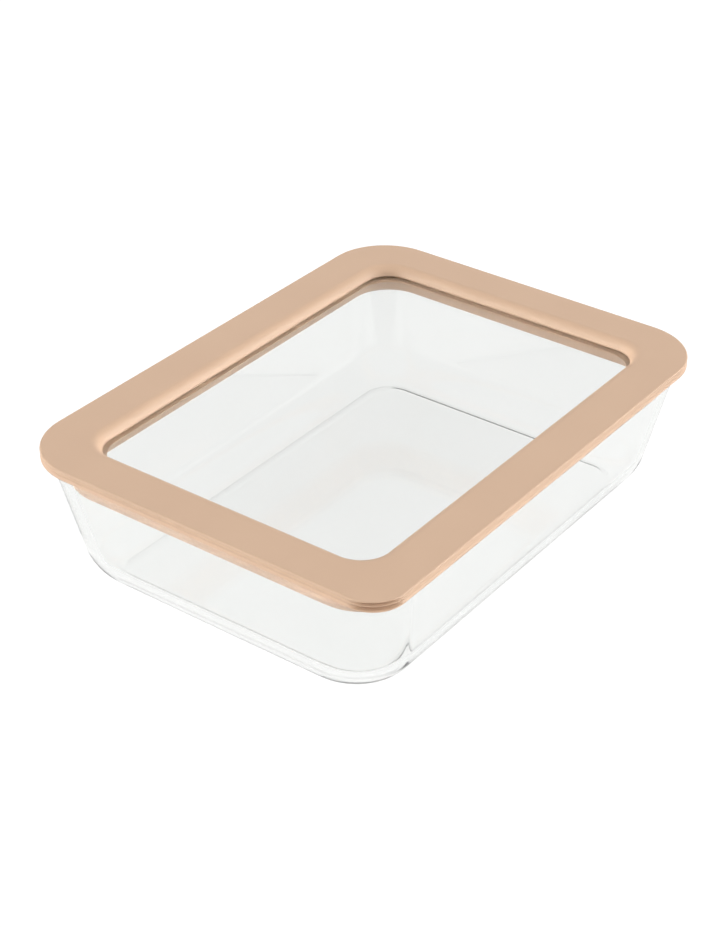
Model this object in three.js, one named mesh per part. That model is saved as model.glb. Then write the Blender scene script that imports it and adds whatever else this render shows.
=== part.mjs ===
import * as THREE from 'three';

// Rectangular glass food storage dish with a see-through lid.
// The lid is a flat pane of tempered glass held in a soft silicone rim that plugs into the dish.
// Millimetres, +Z up. The origin is the centre of the base, on the surface the dish stands on.
// X runs along the long side, and the lid's lifting corner is at -X, -Y.
//
// Every piece is a loft of rounded rectangles. A section is a list of points (x = inset, y = height),
// where the inset is measured inwards from the lid's outermost straight edges.

// The whole object
const LID_LENGTH = 230;
const LID_WIDTH = 170;
const TOTAL_HEIGHT = 60;
const CLEARANCE = 0.3;

// Silicone rim
const LID_CORNER = 26;
const LIFT_CORNER = 14;
const LIP_HEIGHT = 4.2;
const LIP_TOP_ROUND = 1.4;
const LIP_FOOT_ROUND = 0.6;
const GROOVE_DEPTH = 0.35;
const GROOVE_TOP = 1.7;
const GROOVE_FOOT = 3.3;
const WINDOW_INSET = 20.7;
const WINDOW_CORNER = 11.5;
const WINDOW_ROUND = 4.4;

// Glass pane in the rim
const PANE_THICKNESS = 3.6;
const PANE_EDGE_INSET = 13.5;
const PANE_EDGE_ROUND = 1.2;

// Plug under the rim, with two sealing fins. Its inner face leans from the window to the foot.
const PLUG_DEPTH = 15.4;
const PLUG_BACK_INSET = 16;
const PLUG_ROUND = 1.2;
const FIN_REACH = 1.0;
const FIN_HALF_HEIGHT = 1.0;
const FIN_DEPTHS = [8.2, 12.0];

// Glass dish
const DISH_TOP_INSET = 4;
const DISH_TOP_CORNER = 22;
const DISH_BASE_INSET = 13.2;
const DISH_BASE_CORNER = 25;
const BASE_FILLET = 19.7;
const GLASS_WALL = 4.4;
const DISH_LIP_ROUND = 1.8;

// Facets
const CORNER_STEPS = 8;
const FILLET_STEPS = 5;
const EDGE_STEPS = 3;

// Heights that follow from the sizes above
const LIP_FOOT = TOTAL_HEIGHT - LIP_HEIGHT;
const DISH_HEIGHT = LIP_FOOT - CLEARANCE;
const PANE_TOP = TOTAL_HEIGHT - WINDOW_ROUND;
const PANE_FOOT = PANE_TOP - PANE_THICKNESS;
const PLUG_FOOT = TOTAL_HEIGHT - PLUG_DEPTH;

// The dish's wall leans outwards from base to rim.
const DRAFT = Math.atan2(DISH_BASE_INSET - DISH_TOP_INSET, DISH_HEIGHT);
const WALL_ACROSS = GLASS_WALL / Math.cos(DRAFT);

const point = (inset, height) => new THREE.Vector2(inset, height);

// Points along a circular arc of a section, angles in degrees, anticlockwise when end > start.
function arc(inset, height, radius, start, end, steps) {
  const from = THREE.MathUtils.degToRad(start);
  const to = THREE.MathUtils.degToRad(end);
  return new THREE.EllipseCurve(inset, height, radius, radius, from, to, end < start).getPoints(steps);
}

// One rounded rectangle, anticlockwise from +X +Y. Corner radii run from +X +Y to +X -Y.
function roundedRectangle(inset, height, cornerRadii) {
  const signs = [[1, 1], [-1, 1], [-1, -1], [1, -1]];
  const ring = [];
  signs.forEach(([signX, signY], corner) => {
    const radius = cornerRadii[corner];
    const centreX = signX * (LID_LENGTH / 2 - inset - radius);
    const centreY = signY * (LID_WIDTH / 2 - inset - radius);
    for (let step = 0; step <= CORNER_STEPS; step += 1) {
      const angle = (corner + step / CORNER_STEPS) * Math.PI / 2;
      const x = centreX + radius * Math.cos(angle);
      const y = centreY + radius * Math.sin(angle);
      ring.push(new THREE.Vector3(x, y, height));
    }
  });
  return ring;
}

// A closed surface through the section's rings. An open section is capped at both ends.
function loft(section, radiiAt, closedSection) {
  const rings = section.map((p) => roundedRectangle(p.x, p.y, radiiAt(p.x, p.y)));
  const count = rings[0].length;
  const positions = rings.flat().flatMap((p) => p.toArray());
  const index = [];
  const ringPairs = closedSection ? rings.length : rings.length - 1;
  for (let ring = 0; ring < ringPairs; ring += 1) {
    const lower = ring * count;
    const upper = ((ring + 1) % rings.length) * count;
    for (let i = 0; i < count; i += 1) {
      const next = (i + 1) % count;
      index.push(lower + i, lower + next, upper + next);
      index.push(lower + i, upper + next, upper + i);
    }
  }
  if (!closedSection) {
    addCap(positions, index, 0, count, section[0].y, true);
    addCap(positions, index, (rings.length - 1) * count, count, section[section.length - 1].y, false);
  }
  const geometry = new THREE.BufferGeometry();
  geometry.setAttribute('position', new THREE.Float32BufferAttribute(positions, 3));
  geometry.setIndex(index);
  geometry.computeVertexNormals();
  return geometry;
}

// A flat fan from the middle to one ring, facing down or up.
function addCap(positions, index, firstVertex, count, height, facesDown) {
  const middle = positions.length / 3;
  positions.push(0, 0, height);
  for (let i = 0; i < count; i += 1) {
    const here = firstVertex + i;
    const next = firstVertex + (i + 1) % count;
    if (facesDown) index.push(middle, next, here);
    else index.push(middle, here, next);
  }
}

// Inset of the dish's outer wall at a height, as if the wall ran straight down to the base.
function wallInset(height) {
  return THREE.MathUtils.mapLinear(height, 0, DISH_HEIGHT, DISH_BASE_INSET, DISH_TOP_INSET);
}

// Dish corners stay parallel to the outer wall's corner at the same height.
function dishRadii(inset, height) {
  const wallRadius = THREE.MathUtils.mapLinear(height, 0, DISH_HEIGHT, DISH_BASE_CORNER, DISH_TOP_CORNER);
  return new Array(4).fill(wallRadius + wallInset(height) - inset);
}

// Lid corners tighten from the outer edge to the window. The lifting corner is squarer at its edge.
function lidRadii(inset) {
  const even = THREE.MathUtils.mapLinear(inset, 0, WINDOW_INSET, LID_CORNER, WINDOW_CORNER);
  const onOuterEdge = inset <= LIP_TOP_ROUND;
  return [even, even, onOuterEdge ? LIFT_CORNER - inset : even, even];
}

// The dish from the middle of its base, up the outside, over the rim and down to the inside floor.
function dishGeometry() {
  const draft = THREE.MathUtils.radToDeg(DRAFT);
  const filletInset = DISH_BASE_INSET - BASE_FILLET * Math.tan(DRAFT) + BASE_FILLET / Math.cos(DRAFT);
  const outerLip = DISH_TOP_INSET + DISH_LIP_ROUND;
  const innerLip = DISH_TOP_INSET + WALL_ACROSS - DISH_LIP_ROUND;
  const lipHeight = DISH_HEIGHT - DISH_LIP_ROUND;
  const section = [
    ...arc(filletInset, BASE_FILLET, BASE_FILLET, 270, 180 + draft, FILLET_STEPS),
    ...arc(outerLip, lipHeight, DISH_LIP_ROUND, 180, 90, EDGE_STEPS),
    ...arc(innerLip, lipHeight, DISH_LIP_ROUND, 90, 0, EDGE_STEPS),
    ...arc(filletInset, BASE_FILLET, BASE_FILLET - GLASS_WALL, 180 + draft, 270, FILLET_STEPS),
  ];
  return loft(section, dishRadii, false);
}

// The pane is a flat plate with softly rounded edges.
function paneGeometry() {
  const edgeCentre = PANE_EDGE_INSET + PANE_EDGE_ROUND;
  const section = [
    ...arc(edgeCentre, PANE_FOOT + PANE_EDGE_ROUND, PANE_EDGE_ROUND, 270, 180, EDGE_STEPS),
    ...arc(edgeCentre, PANE_TOP - PANE_EDGE_ROUND, PANE_EDGE_ROUND, 180, 90, EDGE_STEPS),
  ];
  return loft(section, lidRadii, false);
}

// A sealing fin on the plug's outer face, from below to above.
function fin(depth) {
  const height = TOTAL_HEIGHT - depth;
  return [
    point(plugInset(height - FIN_HALF_HEIGHT), height - FIN_HALF_HEIGHT),
    point(plugInset(height) - FIN_REACH, height),
    point(plugInset(height + FIN_HALF_HEIGHT), height + FIN_HALF_HEIGHT),
  ];
}

// The plug's outer face follows the inside of the dish's wall, a fin's reach away from it.
function plugInset(height) {
  return wallInset(height) + WALL_ACROSS + CLEARANCE + FIN_REACH;
}

// The rim, up the outer edge, over the top, round the pane's groove, and back up the plug.
function rimGeometry() {
  const footInset = plugInset(PLUG_FOOT);
  const grooveInset = PANE_EDGE_INSET - CLEARANCE;
  const section = [
    ...arc(LIP_FOOT_ROUND, LIP_FOOT + LIP_FOOT_ROUND, LIP_FOOT_ROUND, 270, 180, EDGE_STEPS),
    point(GROOVE_DEPTH, TOTAL_HEIGHT - GROOVE_FOOT + GROOVE_DEPTH),
    point(GROOVE_DEPTH, TOTAL_HEIGHT - GROOVE_TOP),
    ...arc(LIP_TOP_ROUND, TOTAL_HEIGHT - LIP_TOP_ROUND, LIP_TOP_ROUND, 180, 90, EDGE_STEPS),
    ...arc(WINDOW_INSET - WINDOW_ROUND, PANE_TOP, WINDOW_ROUND, 90, 5, FILLET_STEPS),
    point(WINDOW_INSET, PANE_TOP + CLEARANCE),
    point(grooveInset, PANE_TOP + CLEARANCE),
    point(grooveInset, PANE_FOOT - CLEARANCE),
    point(WINDOW_INSET, PANE_FOOT - CLEARANCE),
    ...arc(PLUG_BACK_INSET - PLUG_ROUND, PLUG_FOOT + PLUG_ROUND, PLUG_ROUND, -30, -90, EDGE_STEPS),
    ...arc(footInset + PLUG_ROUND, PLUG_FOOT + PLUG_ROUND, PLUG_ROUND, 270, 180, EDGE_STEPS),
    ...FIN_DEPTHS.toReversed().flatMap(fin),
    point(plugInset(LIP_FOOT), LIP_FOOT),
  ];
  return loft(section, lidRadii, true);
}

const clearGlass = new THREE.MeshStandardMaterial({
  color: 0xe4ebe8,
  roughness: 0.04,
  metalness: 0,
  transparent: true,
  opacity: 0.35,
});
const silicone = new THREE.MeshStandardMaterial({ color: 0xd4b59d, roughness: 0.62, metalness: 0 });

function piece(name, geometry, material) {
  const mesh = new THREE.Mesh(geometry, material);
  mesh.name = name;
  return mesh;
}

const lid = new THREE.Group();
lid.add(piece('lid_glass', paneGeometry(), clearGlass));
lid.add(piece('lid_rim', rimGeometry(), silicone));

const container = new THREE.Group();
container.add(piece('glass_dish', dishGeometry(), clearGlass));
container.add(lid);

export default container;
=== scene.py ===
from math import atan2, cos, degrees, pi, radians, sin, tan

import bpy
from mathutils import Matrix, Vector, noise


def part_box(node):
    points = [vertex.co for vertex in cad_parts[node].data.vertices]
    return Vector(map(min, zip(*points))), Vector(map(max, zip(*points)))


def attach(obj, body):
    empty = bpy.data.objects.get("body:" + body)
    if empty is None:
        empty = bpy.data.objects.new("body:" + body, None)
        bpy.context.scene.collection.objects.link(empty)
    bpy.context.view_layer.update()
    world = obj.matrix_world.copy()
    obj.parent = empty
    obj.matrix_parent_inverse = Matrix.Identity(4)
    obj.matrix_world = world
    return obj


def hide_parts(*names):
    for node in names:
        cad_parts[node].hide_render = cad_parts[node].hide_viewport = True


# Looks of a rectangular glass food dish whose glass lid sits in a soft silicone rim.
# Metres, +Z up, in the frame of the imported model. The lid's lifting corner is at -X, -Y.
#
# Each piece is a loft of rounded rectangles along a section. A section's points are
# (inset, height), with the inset measured inwards from the lid's outermost straight edges.

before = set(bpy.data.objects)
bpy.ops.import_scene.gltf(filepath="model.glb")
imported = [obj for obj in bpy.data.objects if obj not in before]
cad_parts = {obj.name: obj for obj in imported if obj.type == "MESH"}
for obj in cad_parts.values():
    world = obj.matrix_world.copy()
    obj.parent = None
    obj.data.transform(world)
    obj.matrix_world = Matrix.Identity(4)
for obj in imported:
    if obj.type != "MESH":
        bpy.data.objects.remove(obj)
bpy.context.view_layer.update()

MM = 0.001

# Sizes that the frame gives
rim_low, rim_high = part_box("lid_rim")
pane_low, pane_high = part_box("lid_glass")
dish_low, dish_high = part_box("glass_dish")
LID_LENGTH = rim_high.x - rim_low.x
LID_WIDTH = rim_high.y - rim_low.y
TOTAL_HEIGHT = rim_high.z
PLUG_FOOT = rim_low.z
PANE_TOP = pane_high.z
PANE_FOOT = pane_low.z
PANE_EDGE_INSET = pane_low.x - rim_low.x
DISH_HEIGHT = dish_high.z
DISH_TOP_INSET = dish_low.x - rim_low.x

# Silicone rim
LID_CORNER = 26 * MM
LIFT_CORNER = 14 * MM
LIFT_BLEND_START = 2.4 * MM
LIFT_BLEND_END = 9.5 * MM
LIP_HEIGHT = 4.2 * MM
LIP_TOP_ROUND = 0.7 * MM
LIP_ROUND_LIFTING = 0.15 * MM
LIP_CREASE = 0.1 * MM
LIP_FLAT_START = 2 * MM
LIP_FOOT_ROUND = 0.45 * MM
WINDOW_INSET = 20.7 * MM
WINDOW_CORNER = 11.5 * MM
CURL = 0.75 * MM
PLUG_BACK_INSET = 16 * MM
PLUG_BACK_CORNER = 17.5 * MM
JAW_CORNER = 15.2 * MM
PLUG_ROUND = 1.2 * MM
FIN_REACH = 1.2 * MM
FIN_HALF_HEIGHT = 1.0 * MM
FIN_DEPTHS = (8.2 * MM, 12.0 * MM)
FIN_TIP_HEIGHT = 0.2 * MM
PLUG_CLEARANCE = 1.3 * MM
SEAT_GAP = 0.06 * MM

# A middle point on a fin's lower flank, and one on its back, as shares of its reach and height
FIN_FLANK = 0.55
FIN_BACK_REACH = 0.5
FIN_BACK_HEIGHT = 0.65

# Glass
PANE_EDGE_ROUND = 1.2 * MM
DISH_TOP_CORNER = 22 * MM
DISH_BASE_INSET = 13.2 * MM
DISH_BASE_CORNER = 25 * MM
BASE_FILLET = 19.7 * MM
GLASS_WALL = 4.4 * MM
DISH_LIP_ROUND = 1.8 * MM
FOOT_INSET = 24.8 * MM
FOOT_HALF_WIDTH = 2.8 * MM
FOOT_HALF_WIDTH_SOFT = 5.5 * MM
UNEVEN_SIZE = 32 * MM
UNEVEN_HEIGHT = 0.05 * MM
UNEVEN_SEED = 4.1
UNEVEN_ABOVE = 4 * MM

# Angles on a section's arcs, in degrees: where the base's fillet leaves the foot bead, where the
# rim's round edge turns into its curl, and where the plug's foot leaves its back
HEEL_START = 246
WINDOW_ROUND_END = 10
PLUG_BACK_END = -25

# Shares round an outline: how squarely it has to face along X for the foot bead to begin to
# sharpen, and how much of the lifting corner is at its full depth
FOOT_SHARPENS_FROM = 0.7
LIFTING_FULL = 0.25

# The corners in order are +X +Y, -X +Y, -X -Y and +X -Y.
LIFTING = 2

# Fineness of the meshes
CORNER_STEPS = 22
LONG_STEPS = 40
SHORT_STEPS = 28
FILLET_STEPS = 26
FOOT_STEPS = 32
EDGE_STEPS = 8
FLAT_STEPS = 14
LIP_SIDE_STEPS = 34
FLOOR_RINGS = 22
SHORTEST_TO_DIVIDE = 1.6 * MM

LIP_FOOT = TOTAL_HEIGHT - LIP_HEIGHT
WINDOW_ROUND = TOTAL_HEIGHT - PANE_TOP
DRAFT = atan2(DISH_BASE_INSET - DISH_TOP_INSET, DISH_HEIGHT)
WALL_ACROSS = GLASS_WALL / cos(DRAFT)

# View of the photograph
VIEW_AZIMUTH = -54.15
VIEW_ELEVATION = 32.17
VIEW_ROLL = 0.69
VIEW_DISTANCE = 823.9 * MM
VIEW_RIGHT = -5.85 * MM
VIEW_UP = 23.78 * MM
VIEW_LENS = 78.84
VIEW_NEAREST = 10 * MM


# ---------------------------------------------------------------- sections

def mix(start, end, share):
    return start + (end - start) * share


def smoothstep(low, high, value):
    share = min(max((value - low) / (high - low), 0), 1)
    return share * share * (3 - 2 * share)


def arc(inset, height, radius, start, end, steps):
    """Points of a section on a circular arc, with its angles in degrees."""
    angles = [radians(mix(start, end, step / steps)) for step in range(steps + 1)]
    return [Vector((inset + radius * cos(a), height + radius * sin(a))) for a in angles]


def stretched(section):
    """The section with its long straight stretches divided, most finely near their ends."""
    shares = [(1 - cos(pi * step / FLAT_STEPS)) / 2 for step in range(1, FLAT_STEPS)]
    result = []
    for start, end in zip(section, section[1:]):
        result.append(start)
        if (end - start).length > SHORTEST_TO_DIVIDE:
            result += [start.lerp(end, share) for share in shares]
    return result + [section[-1]]


def outline(inset, height, corner_radii):
    """One rounded rectangle, anticlockwise from the corner at +X +Y."""
    points = []
    for corner, radius in enumerate(corner_radii):
        sign_x = 1 if corner in (0, 3) else -1
        sign_y = 1 if corner in (0, 1) else -1
        centre_x = sign_x * (LID_LENGTH / 2 - inset - radius)
        centre_y = sign_y * (LID_WIDTH / 2 - inset - radius)
        for step in range(CORNER_STEPS + 1):
            angle = (corner + step / CORNER_STEPS) * pi / 2
            x = centre_x + radius * cos(angle)
            y = centre_y + radius * sin(angle)
            points.append(Vector((x, y, height)))
    return with_straights(points)


def with_straights(points):
    """The corners' points with the straight sides between them divided evenly."""
    per_corner = CORNER_STEPS + 1
    result = []
    for corner in range(4):
        result += points[corner * per_corner:(corner + 1) * per_corner]
        start = result[-1]
        end = points[(corner + 1) * per_corner % len(points)]
        steps = LONG_STEPS if corner % 2 == 0 else SHORT_STEPS
        result += [start.lerp(end, step / steps) for step in range(1, steps)]
    return result


def outline_shares(share_at):
    """A number for each point of an outline, from a function of its corner and its step there."""
    corners = [(corner, step) for corner in range(4) for step in range(CORNER_STEPS + 1)]
    points = [Vector((0, 0, share_at(corner, step))) for corner, step in corners]
    return [p.z for p in with_straights(points)]


def blended_rings(section, other, radii, shares):
    """Outlines along a section that turns into another one by each point's share."""
    rings = []
    for p, q in zip(section, other):
        pairs = zip(outline(p.x, p.y, radii(p)), outline(q.x, q.y, radii(q)), shares)
        rings.append([start.lerp(end, share) for start, end, share in pairs])
    return rings


# ---------------------------------------------------------------- meshes

def loft(name, rings, closed):
    """A closed mesh through the rings. An open row of rings is filled at both ends."""
    count = len(rings[0])
    vertices = [point for ring in rings for point in ring]
    faces = []
    last = len(rings) if closed else len(rings) - 1
    for ring in range(last):
        lower = ring * count
        upper = (ring + 1) % len(rings) * count
        for i in range(count):
            j = (i + 1) % count
            faces.append((lower + i, lower + j, upper + j, upper + i))
    if not closed:
        fill(vertices, faces, 0, count, facing_down=True)
        fill(vertices, faces, (len(rings) - 1) * count, count, facing_down=False)
    mesh = bpy.data.meshes.new(name)
    mesh.from_pydata(vertices, [], faces)
    mesh.shade_smooth()
    piece = bpy.data.objects.new(name, mesh)
    bpy.context.scene.collection.objects.link(piece)
    return piece


def fill(vertices, faces, first, count, facing_down):
    """A flat end, as copies of its edge that shrink to the middle."""
    edge = vertices[first:first + count]
    previous = list(range(first, first + count))
    for ring in range(1, FLOOR_RINGS):
        share = 1 - ring / FLOOR_RINGS
        start = len(vertices)
        vertices += [Vector((p.x * share, p.y * share, p.z)) for p in edge]
        current = list(range(start, start + count))
        for i in range(count):
            j = (i + 1) % count
            face = (previous[i], previous[j], current[j], current[i])
            faces.append(face[::-1] if facing_down else face)
        previous = current
    middle = len(vertices)
    vertices.append(Vector((0, 0, edge[0].z)))
    for i in range(count):
        face = (previous[i], previous[(i + 1) % count], middle)
        faces.append(face[::-1] if facing_down else face)


def unevenness(piece):
    """Moves the surface above the base in and out a little, as pressed glass is never true."""
    vertices = piece.data.vertices
    normals = [vertex.normal.copy() for vertex in vertices]
    offset = Vector((UNEVEN_SEED, 2 * UNEVEN_SEED, 3 * UNEVEN_SEED))
    for vertex, normal in zip(vertices, normals):
        amount = noise.noise(vertex.co / UNEVEN_SIZE + offset)
        amount *= smoothstep(0, UNEVEN_ABOVE, vertex.co.z)
        vertex.co += normal * UNEVEN_HEIGHT * amount


# ---------------------------------------------------------------- glass dish

def wall_inset(height):
    """Inset of the dish's outer wall at a height, as if it ran straight down to the base."""
    return mix(DISH_BASE_INSET, DISH_TOP_INSET, height / DISH_HEIGHT)


def dish_radii(point):
    """The dish's corners stay parallel to the outer wall's corner at the same height."""
    wall_radius = mix(DISH_BASE_CORNER, DISH_TOP_CORNER, point.y / DISH_HEIGHT)
    return [wall_radius + wall_inset(point.y) - point.x] * 4


def with_foot(points, half_width):
    """The fillet's points with a low bead pressed out of it, down to the standing height."""
    drop = next(p.y for p in points if p.x <= FOOT_INSET)
    result = []
    for p in points:
        away = min(abs(p.x - FOOT_INSET) / half_width, 1)
        result.append(Vector((p.x, max(p.y - drop * cos(away * pi / 2) ** 2, 0))))
    return result


def dish_section(foot_half_width):
    """From the base's flat, up the outside, over the rim and down to the inside floor."""
    draft = degrees(DRAFT)
    fillet_inset = DISH_BASE_INSET - BASE_FILLET * tan(DRAFT) + BASE_FILLET / cos(DRAFT)
    outer_lip = DISH_TOP_INSET + DISH_LIP_ROUND
    inner_lip = DISH_TOP_INSET + WALL_ACROSS - DISH_LIP_ROUND
    lip_height = DISH_HEIGHT - DISH_LIP_ROUND
    inner_fillet = BASE_FILLET - GLASS_WALL
    foot = arc(fillet_inset, BASE_FILLET, BASE_FILLET, 270, HEEL_START, FOOT_STEPS)
    heel = arc(fillet_inset, BASE_FILLET, BASE_FILLET, HEEL_START, 180 + draft, FILLET_STEPS)
    return [
        *with_foot(foot, foot_half_width),
        *heel[1:],
        *arc(outer_lip, lip_height, DISH_LIP_ROUND, 180, 90, EDGE_STEPS),
        *arc(inner_lip, lip_height, DISH_LIP_ROUND, 90, 0, EDGE_STEPS),
        *arc(fillet_inset, BASE_FILLET, inner_fillet, 180 + draft, 270, FILLET_STEPS),
    ]


def short_side_share(corner, step):
    """1 where an outline faces along X, fading to 0 well before it faces along Y."""
    facing = abs(cos((corner + step / CORNER_STEPS) * pi / 2))
    return smoothstep(FOOT_SHARPENS_FROM, 1, facing)


def make_dish():
    sharp = stretched(dish_section(FOOT_HALF_WIDTH))
    soft = stretched(dish_section(FOOT_HALF_WIDTH_SOFT))
    rings = blended_rings(soft, sharp, dish_radii, outline_shares(short_side_share))
    dish = loft("dish", rings, closed=False)
    unevenness(dish)
    return dish


# ---------------------------------------------------------------- lid

def lid_radii(point):
    """Corners tighten from the lid's edge to the window. The lifting one is squarer outside."""
    even = mix(LID_CORNER, WINDOW_CORNER, point.x / WINDOW_INSET)
    if point.y < PANE_FOOT and point.x > PLUG_BACK_INSET - PLUG_ROUND:
        share = (point.x - PLUG_BACK_INSET) / (WINDOW_INSET - PLUG_BACK_INSET)
        even = mix(PLUG_BACK_CORNER, JAW_CORNER, share)
    lift = mix(LIFT_CORNER - point.x, even, smoothstep(LIFT_BLEND_START, LIFT_BLEND_END, point.x))
    return [even, even, lift, even]


def make_pane():
    edge = PANE_EDGE_INSET + PANE_EDGE_ROUND
    section = stretched([
        *arc(edge, PANE_FOOT + PANE_EDGE_ROUND, PANE_EDGE_ROUND, 270, 180, EDGE_STEPS),
        *arc(edge, PANE_TOP - PANE_EDGE_ROUND, PANE_EDGE_ROUND, 180, 90, EDGE_STEPS),
    ])
    return loft("pane", [outline(p.x, p.y, lid_radii(p)) for p in section], closed=False)


def plug_inset(height):
    """The plug's outer face follows the inside of the dish's wall."""
    return wall_inset(height) + WALL_ACROSS + PLUG_CLEARANCE


def fin(depth):
    """A sealing fin on the plug's outer face, from below to above."""
    height = TOTAL_HEIGHT - depth
    low, high = height - FIN_HALF_HEIGHT, height + FIN_HALF_HEIGHT
    root = plug_inset(height)
    tip = root - FIN_REACH
    return [
        Vector((plug_inset(low), low)),
        Vector((mix(root, tip, FIN_FLANK), mix(low, height, FIN_FLANK))),
        Vector((tip, height)),
        Vector((tip, height + FIN_TIP_HEIGHT)),
        Vector((mix(root, tip, FIN_BACK_REACH), mix(height, high, FIN_BACK_HEIGHT))),
        Vector((plug_inset(high), high)),
    ]


# Two grooves run round the lip's outer side, with a sharp arris between them. Each is the depth
# of its middle below the top, half its height, and how far it goes in. Both go in further at the
# lifting corner.
UPPER_GROOVE = (1.15 * MM, 0.65 * MM, 0.16 * MM)
LOWER_GROOVE = (2.75 * MM, 0.90 * MM, 0.42 * MM)
UPPER_GROOVE_LIFTING = (1.00 * MM, 0.80 * MM, 2.6 * MM)
LOWER_GROOVE_LIFTING = (3.00 * MM, 1.05 * MM, 3.6 * MM)
GROOVE_SQUARENESS = 0.7


def lip_side(lifting):
    """The lip's outer side, from its foot to its flat top, plain or as at the lifting corner."""
    if lifting:
        grooves = (UPPER_GROOVE_LIFTING, LOWER_GROOVE_LIFTING)
        top_round = foot_round = LIP_ROUND_LIFTING
    else:
        grooves = (UPPER_GROOVE, LOWER_GROOVE)
        top_round, foot_round = LIP_TOP_ROUND, LIP_FOOT_ROUND
    low = LIP_HEIGHT - foot_round
    points = arc(foot_round, TOTAL_HEIGHT - low, foot_round, 270, 180, EDGE_STEPS)
    for step in range(1, LIP_SIDE_STEPS):
        depth = mix(low, top_round, step / LIP_SIDE_STEPS)
        inset = sum(groove_inset(depth, *groove) for groove in grooves)
        points.append(Vector((inset, TOTAL_HEIGHT - depth)))
    points += arc(top_round, TOTAL_HEIGHT - top_round, top_round, 180, 90, EDGE_STEPS)
    points.append(Vector((top_round + LIP_CREASE, TOTAL_HEIGHT)))
    return points


def groove_inset(depth, middle, half_height, reach):
    away = min(abs(depth - middle) / half_height, 1)
    return reach * cos(away * pi / 2) ** GROOVE_SQUARENESS


def rim_inside():
    """From the flat top into the window, round the pane's seat and the plug to the lip's foot."""
    round_inset = WINDOW_INSET - WINDOW_ROUND
    seat_inset = PANE_EDGE_INSET - SEAT_GAP
    back_inset = PLUG_BACK_INSET - PLUG_ROUND
    foot_inset = plug_inset(PLUG_FOOT)
    foot_centre = PLUG_FOOT + PLUG_ROUND
    return stretched([
        Vector((LIP_FLAT_START, TOTAL_HEIGHT)),
        *arc(round_inset, PANE_TOP, WINDOW_ROUND, 90, WINDOW_ROUND_END, FILLET_STEPS // 2),
        *arc(WINDOW_INSET - CURL, PANE_TOP + SEAT_GAP + CURL, CURL, 0, -90, EDGE_STEPS),
        Vector((seat_inset, PANE_TOP + SEAT_GAP)),
        Vector((seat_inset, PANE_FOOT - SEAT_GAP)),
        Vector((WINDOW_INSET, PANE_FOOT - SEAT_GAP)),
        *arc(back_inset, foot_centre, PLUG_ROUND, PLUG_BACK_END, -90, EDGE_STEPS),
        *arc(foot_inset + PLUG_ROUND, foot_centre, PLUG_ROUND, 270, 180, EDGE_STEPS),
        *[point for depth in reversed(FIN_DEPTHS) for point in fin(depth)],
        Vector((plug_inset(LIP_FOOT), LIP_FOOT)),
    ])


def lifting_share(corner, step):
    """1 in the middle of the lifting corner, 0 beyond it."""
    if corner != LIFTING:
        return 0
    return smoothstep(1, LIFTING_FULL, abs(2 * step / CORNER_STEPS - 1))


def make_rim():
    plain = lip_side(lifting=False) + rim_inside()
    lifting = lip_side(lifting=True) + rim_inside()
    rings = blended_rings(plain, lifting, lid_radii, outline_shares(lifting_share))
    return loft("rim", rings, closed=True)


# ---------------------------------------------------------------- materials

# Colours are linear. Each pair is the range that a value moves over with its noise.
SILICONE_COLOURS = (0.586, 0.398, 0.274), (0.606, 0.415, 0.286)
SILICONE_ROUGHNESS = 0.44, 0.56
SILICONE_IOR = 1.42
SILICONE_CLOUD_SCALE = 28
GRAIN_SCALE = 2400
GRAIN_HEIGHT = 0.02 * MM
GRAIN_STRENGTH = 0.5
DISH_TINTS = (0.976, 0.982, 0.978), (0.986, 0.99, 0.988)
DISH_SMUDGE = 0.02
PANE_TINTS = (0.988, 0.992, 0.99), (0.994, 0.997, 0.996)
PANE_SMUDGE = 0.01
GLASS_CLOUD_SCALE = 18
HAZE_SCALE = 45
GLASS_IOR = 1.5
GLASS_ABSORPTION = 9
GLASS_ABSORPTION_COLOUR = (0.5, 0.55, 0.42, 1)

# The part of a noise's range that a material's values are spread over
NOISE_LOW = 0.3
NOISE_HIGH = 0.7


def new_material(name):
    material = bpy.data.materials.new(name)
    material.use_nodes = True
    nodes = material.node_tree.nodes
    return material, nodes, material.node_tree.links, nodes["Principled BSDF"]


def noise_node(nodes, links, scale, detail, roughness=0.5):
    where = nodes.new("ShaderNodeTexCoord")
    texture = nodes.new("ShaderNodeTexNoise")
    texture.inputs["Scale"].default_value = scale
    texture.inputs["Detail"].default_value = detail
    texture.inputs["Roughness"].default_value = roughness
    links.new(where.outputs["Object"], texture.inputs["Vector"])
    return texture


def ramp_between(nodes, links, texture, low, high):
    """A number that follows the noise, from low to high."""
    ramp = nodes.new("ShaderNodeMapRange")
    ramp.inputs["From Min"].default_value = NOISE_LOW
    ramp.inputs["From Max"].default_value = NOISE_HIGH
    ramp.inputs["To Min"].default_value = low
    ramp.inputs["To Max"].default_value = high
    links.new(texture.outputs["Fac"], ramp.inputs["Value"])
    return ramp.outputs["Result"]


def colour_between(nodes, links, texture, low, high):
    """A colour that follows the noise, from low to high."""
    blend = nodes.new("ShaderNodeMix")
    blend.data_type = "RGBA"
    blend.inputs[6].default_value = (*low, 1)
    blend.inputs[7].default_value = (*high, 1)
    links.new(ramp_between(nodes, links, texture, 0, 1), blend.inputs[0])
    return blend.outputs[2]


def bump(nodes, links, texture, height, strength):
    node = nodes.new("ShaderNodeBump")
    node.inputs["Distance"].default_value = height
    node.inputs["Strength"].default_value = strength
    links.new(texture.outputs["Fac"], node.inputs["Height"])
    return node


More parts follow.
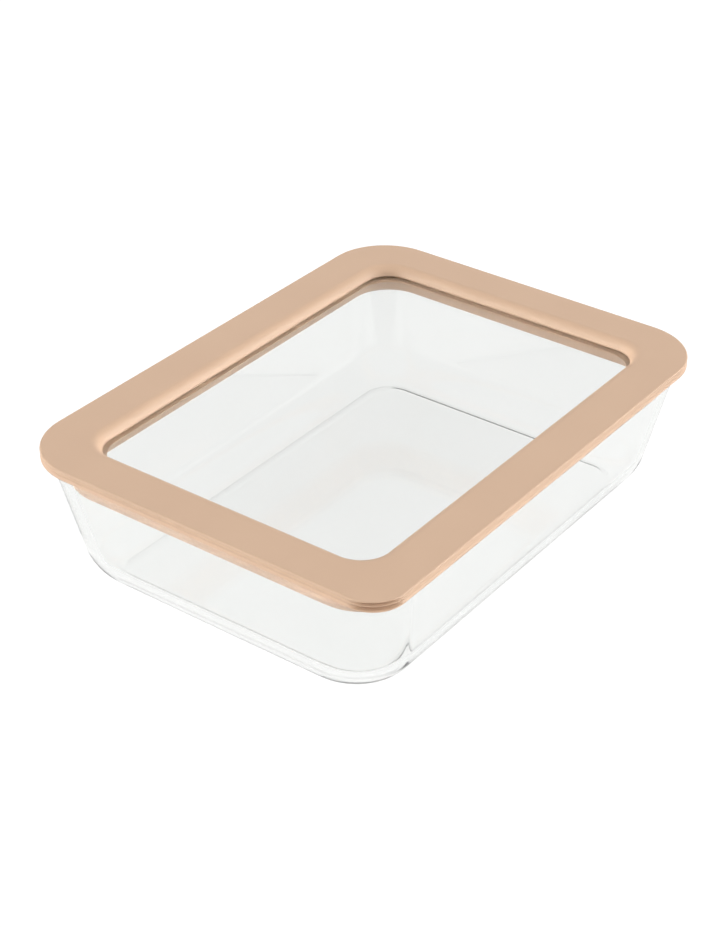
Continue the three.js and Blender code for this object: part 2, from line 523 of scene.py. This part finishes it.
def silicone_material():
    """Matt peach silicone with a fine moulded grain."""
    material, nodes, links, shader = new_material("silicone")
    cloud = noise_node(nodes, links, SILICONE_CLOUD_SCALE, detail=4)
    grain = noise_node(nodes, links, GRAIN_SCALE, detail=2, roughness=0.6)
    colour = colour_between(nodes, links, cloud, *SILICONE_COLOURS)
    links.new(colour, shader.inputs["Base Color"])
    roughness = ramp_between(nodes, links, grain, *SILICONE_ROUGHNESS)
    links.new(roughness, shader.inputs["Roughness"])
    relief = bump(nodes, links, grain, GRAIN_HEIGHT, GRAIN_STRENGTH)
    links.new(relief.outputs["Normal"], shader.inputs["Normal"])
    shader.inputs["IOR"].default_value = SILICONE_IOR
    return material


def glass_material(name, tints, smudge):
    """Clear glass with a faint green-grey tint and almost no haze."""
    material, nodes, links, shader = new_material(name)
    cloud = noise_node(nodes, links, GLASS_CLOUD_SCALE, detail=2)
    haze = noise_node(nodes, links, HAZE_SCALE, detail=4, roughness=0.6)
    colour = colour_between(nodes, links, cloud, *tints)
    links.new(colour, shader.inputs["Base Color"])
    links.new(ramp_between(nodes, links, haze, 0, smudge), shader.inputs["Roughness"])
    shader.inputs["IOR"].default_value = GLASS_IOR
    shader.inputs["Transmission Weight"].default_value = 1
    absorption = nodes.new("ShaderNodeVolumeAbsorption")
    absorption.inputs["Color"].default_value = GLASS_ABSORPTION_COLOUR
    absorption.inputs["Density"].default_value = GLASS_ABSORPTION
    links.new(absorption.outputs["Volume"], nodes["Material Output"].inputs["Volume"])
    return material


# ---------------------------------------------------------------- studio

def direction(azimuth, elevation):
    """A unit vector from degrees. Azimuth runs from +X towards +Y."""
    a, e = radians(azimuth), radians(elevation)
    return Vector((cos(a) * cos(e), sin(a) * cos(e), sin(e)))


# The studio's soft glows, as (azimuth, elevation, radius, strength), with angles in degrees.
# LIT_BY lights the surfaces: a large soft box on each side, a fill from the camera's side and one
# from behind. SEEN is the even, dimmer room that glass and gloss show. Matt surfaces under the
# glass get more of the light than the ones in the open.
LIT_BY = [(140, 11, 32, 9), (305, 11, 32, 9.8), (225, 55, 50, 0.6), (36, 20, 40, 1.5)]
LIT_AMBIENT = 0.02
LIT_FLOOR = 0.26
LIT_UNDER_GLASS = 4.4
SEEN = [(36, 32, 50, 0.2)]
SEEN_AMBIENT = 0.4
SEEN_FLOOR = 0.965
FLOOR_WHITE = 0.05
FLOOR_ROUGHNESS = 0.9
FLOOR_SPECULAR = 0.1
FLOOR_HALF_SIZE = 4
FLOOR_HEIGHT = -0.1 * MM
WHITE = 1.02


def make_world():
    world = bpy.data.worlds.new("studio")
    world.use_nodes = True
    nodes, links = world.node_tree.nodes, world.node_tree.links
    where = nodes.new("ShaderNodeTexCoord").outputs["Generated"]
    lit = glows(nodes, links, where, LIT_BY, LIT_AMBIENT)
    seen = glows(nodes, links, where, SEEN, SEEN_AMBIENT)
    links.new(for_rays(nodes, links, lit, seen), nodes["Background"].inputs["Strength"])
    nodes["Background"].inputs["Color"].default_value = (1, 1, 1, 1)
    bpy.context.scene.world = world


def math_node(nodes, links, operation, *values):
    node = nodes.new("ShaderNodeMath")
    node.operation = operation
    for value, socket in zip(values, node.inputs):
        if isinstance(value, (int, float)):
            socket.default_value = value
        else:
            links.new(value, socket)
    return node.outputs["Value"]


def number_between(nodes, links, start, end, share):
    step = math_node(nodes, links, "SUBTRACT", end, start)
    return math_node(nodes, links, "MULTIPLY_ADD", step, share, start)


def for_rays(nodes, links, lit, seen):
    """White for the camera, what glass and gloss show, or the light on matt surfaces."""
    path = nodes.new("ShaderNodeLightPath").outputs
    under_glass = number_between(nodes, links, 1, LIT_UNDER_GLASS, path["Is Transmission Ray"])
    lighting = math_node(nodes, links, "MULTIPLY", lit, under_glass)
    # A ray that has left a matt surface gathers light, even where glass bends it later on.
    bent = math_node(nodes, links, "MAXIMUM", path["Is Glossy Ray"], path["Is Transmission Ray"])
    in_glass = math_node(nodes, links, "SUBTRACT", bent, path["Diffuse Depth"])
    in_glass = math_node(nodes, links, "MAXIMUM", in_glass, 0)
    brightness = number_between(nodes, links, lighting, seen, in_glass)
    return number_between(nodes, links, brightness, WHITE, path["Is Camera Ray"])


def glows(nodes, links, where, lobes, ambient):
    """The ambient and soft round glows, each a smooth step of how near its middle is."""
    total = ambient
    for azimuth, elevation, radius, strength in lobes:
        facing = nodes.new("ShaderNodeVectorMath")
        facing.operation = "DOT_PRODUCT"
        facing.inputs[1].default_value = direction(azimuth, elevation)
        links.new(where, facing.inputs[0])
        glow = nodes.new("ShaderNodeMapRange")
        glow.interpolation_type = "SMOOTHSTEP"
        glow.inputs["From Min"].default_value = cos(radians(radius))
        glow.inputs["From Max"].default_value = cos(radians(radius / 2))
        glow.inputs["To Max"].default_value = strength
        links.new(facing.outputs["Value"], glow.inputs["Value"])
        total = math_node(nodes, links, "ADD", total, glow.outputs["Result"])
    return total


def make_floor():
    size = FLOOR_HALF_SIZE
    mesh = bpy.data.meshes.new("floor")
    corners = [(-size, -size), (size, -size), (size, size), (-size, size)]
    mesh.from_pydata([(x, y, FLOOR_HEIGHT) for x, y in corners], [], [(0, 1, 2, 3)])
    floor = bpy.data.objects.new("floor", mesh)
    bpy.context.scene.collection.objects.link(floor)
    material, nodes, links, shader = new_material("floor_paper")
    shader.inputs["Base Color"].default_value = (FLOOR_WHITE, FLOOR_WHITE, FLOOR_WHITE, 1)
    shader.inputs["Roughness"].default_value = FLOOR_ROUGHNESS
    shader.inputs["Specular IOR Level"].default_value = FLOOR_SPECULAR
    shader.inputs["Emission Color"].default_value = (1, 1, 1, 1)
    brightness = for_rays(nodes, links, LIT_FLOOR, SEEN_FLOOR)
    links.new(brightness, shader.inputs["Emission Strength"])
    mesh.materials.append(material)


def make_camera():
    azimuth, elevation, roll = (radians(v) for v in (VIEW_AZIMUTH, VIEW_ELEVATION, VIEW_ROLL))
    back = Vector((sin(azimuth) * cos(elevation), -cos(azimuth) * cos(elevation), sin(elevation)))
    level = Vector((cos(azimuth), sin(azimuth), 0))
    upright = back.cross(level)
    right = level * cos(roll) + upright * sin(roll)
    up = upright * cos(roll) - level * sin(roll)
    location = back * VIEW_DISTANCE + right * VIEW_RIGHT + up * VIEW_UP
    data = bpy.data.cameras.new("camera")
    data.lens = VIEW_LENS
    data.clip_start = VIEW_NEAREST
    camera = bpy.data.objects.new("camera", data)
    bpy.context.scene.collection.objects.link(camera)
    camera.matrix_world = Matrix((right, up, back)).transposed().to_4x4()
    camera.location = location
    bpy.context.scene.camera = camera


# ---------------------------------------------------------------- assembly

def place(piece, material, body, node):
    piece.data.materials.append(material)
    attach(piece, body)
    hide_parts(node)


make_camera()
make_world()
make_floor()
bpy.context.scene.view_settings.view_transform = "Standard"

dish_glass = glass_material("dish_glass", DISH_TINTS, DISH_SMUDGE)
pane_glass = glass_material("pane_glass", PANE_TINTS, PANE_SMUDGE)
place(make_dish(), dish_glass, "dish", "glass_dish")
place(make_pane(), pane_glass, "lid", "lid_glass")
place(make_rim(), silicone_material(), "lid", "lid_rim")
